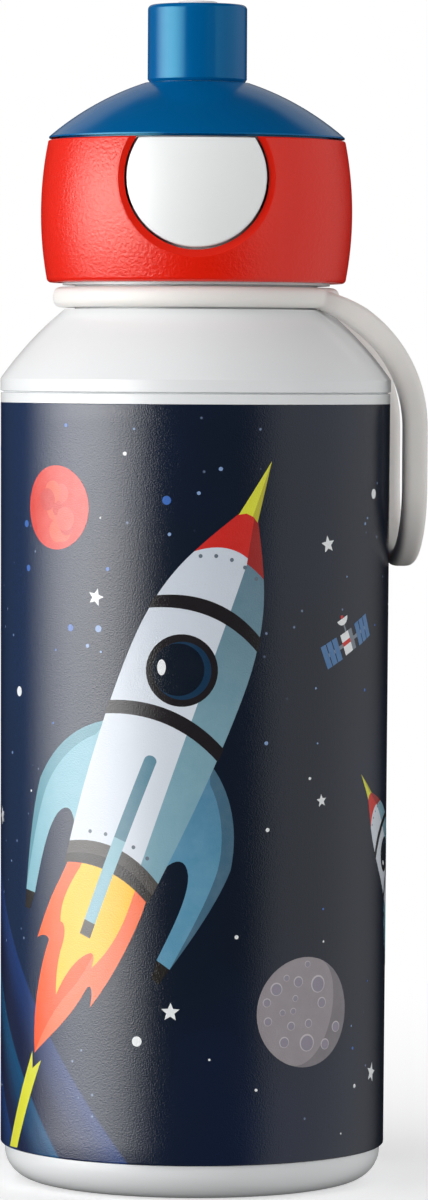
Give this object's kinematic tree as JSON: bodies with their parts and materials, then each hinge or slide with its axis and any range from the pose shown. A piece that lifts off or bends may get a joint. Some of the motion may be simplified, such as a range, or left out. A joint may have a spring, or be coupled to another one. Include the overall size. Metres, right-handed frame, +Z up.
{
  "type": "kids water bottle",
  "caption": "Slim plastic drinking bottle with a printed sleeve, screw cap, push-button pop-up spout and a soft carrying strap on a turning neck ring.",
  "frame": {"origin": "centre of the foot ring, on the table", "axes": "+Z up along the bottle's axis, the button faces -Y, the strap hangs on the +X side"},
  "size_m": [0.0725, 0.0664, 0.2],
  "materials": {
    "white_plastic": "gloss",
    "label_film": "gloss",
    "red_plastic": "satin",
    "blue_plastic": "gloss",
    "strap_soft": "matte",
    "seal_soft": "matte",
    "spring_steel": "satin"
  },
  "bodies": {
    "bottle": {"bottle_cup": "white_plastic", "label_wrap": "label_film", "bottle_shoulder": "white_plastic"},
    "strap_collar": {"strap_ring": "strap_soft"},
    "strap": {"strap_loop": "strap_soft"},
    "gasket": {"neck_gasket": "seal_soft"},
    "cap": {"cap_shell": "red_plastic", "cap_insert": "white_plastic", "valve_pin": "white_plastic", "pin_seal": "seal_soft", "vent_valve": "seal_soft", "lift_spring": "spring_steel", "button_spring_left": "spring_steel", "button_spring_right": "spring_steel"},
    "button": {"push_button": "white_plastic", "latch_slide": "white_plastic"},
    "lid": {"popup_dome": "blue_plastic", "popup_carrier": "white_plastic", "spout_barrel": "blue_plastic", "stem_seal": "seal_soft"}
  },
  "joints": [
    {"name": "cap_turn", "type": "hinge", "parent": "gasket", "child": "cap", "pos_m": [0, 0, 0.1575], "axis": [0, 0, 1], "range_deg": [0, 1440]},
    {"name": "cap_lift", "type": "slide", "parent": "bottle", "child": "gasket", "axis": [0, 0, 1], "range_m": [0, 0.024]},
    {"name": "lid_lift", "type": "slide", "parent": "cap", "child": "lid", "axis": [0, 0, 1], "range_m": [0, 0.0075], "deforming": ["lift_spring"]},
    {"name": "button_press", "type": "slide", "parent": "cap", "child": "button", "axis": [0, 1, 0], "range_m": [0, 0.0015], "stiffness_N_per_m": 900, "deforming": ["button_spring_left", "button_spring_right"]},
    {"name": "strap_turn", "type": "hinge", "parent": "bottle", "child": "strap_collar", "pos_m": [0, 0, 0.14985], "axis": [0, 0, 1], "continuous": true},
    {"name": "strap_swing", "type": "hinge", "parent": "strap_collar", "child": "strap", "pos_m": [0.02333, 0.00357, 0.14778], "axis": [0.1513, -0.9885, 0], "range_deg": [0, 80]}
  ],
  "couplings": [
    {"joint": "cap_lift", "follows": "cap_turn", "m_per_rad": 0.00095493}
  ]
}
